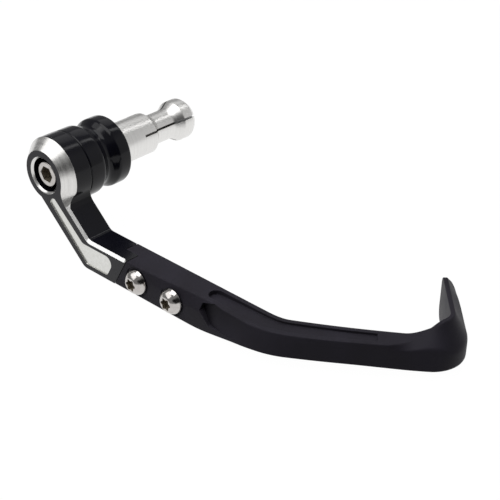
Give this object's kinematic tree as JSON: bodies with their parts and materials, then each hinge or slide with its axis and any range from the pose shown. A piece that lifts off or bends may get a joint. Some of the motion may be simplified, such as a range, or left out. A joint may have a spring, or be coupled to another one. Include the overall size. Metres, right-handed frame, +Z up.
{
  "type": "brake lever guard",
  "caption": "Bar end guard for a motorcycle brake lever: an expanding plug clamps in the handlebar, a milled arm drops forward and a moulded blade hooks round the lever tip.",
  "frame": {"origin": "centre of the handlebar's end face, where the bar end barrel seats on it, on the clamp bolt's axis", "axes": "+X along the handlebar towards the grip, -Y forward of the rider, +Z up as mounted"},
  "size_m": [0.0782, 0.1755, 0.045],
  "materials": {
    "arm_anodised": "black anodised aluminium with bevels and a pocket milled bright",
    "blade_nylon": "semi-matt black moulded nylon",
    "barrel_anodised": "glossy black anodised turned aluminium",
    "bare_aluminium": "bare turned aluminium",
    "nut_steel": "zinc plated turned steel",
    "bolt_stainless": "stainless steel with a dark hex socket",
    "screw_stainless": "polished stainless steel"
  },
  "bodies": {
    "root": {"arm": "arm_anodised", "guard_blade": "blade_nylon", "bar_end_barrel": "barrel_anodised", "expander_sleeve": "bare_aluminium", "cone_nut": "nut_steel", "clamp_bolt": "bolt_stainless", "blade_screw_rear": "screw_stainless", "blade_screw_front": "screw_stainless"}
  },
  "joints": []
}
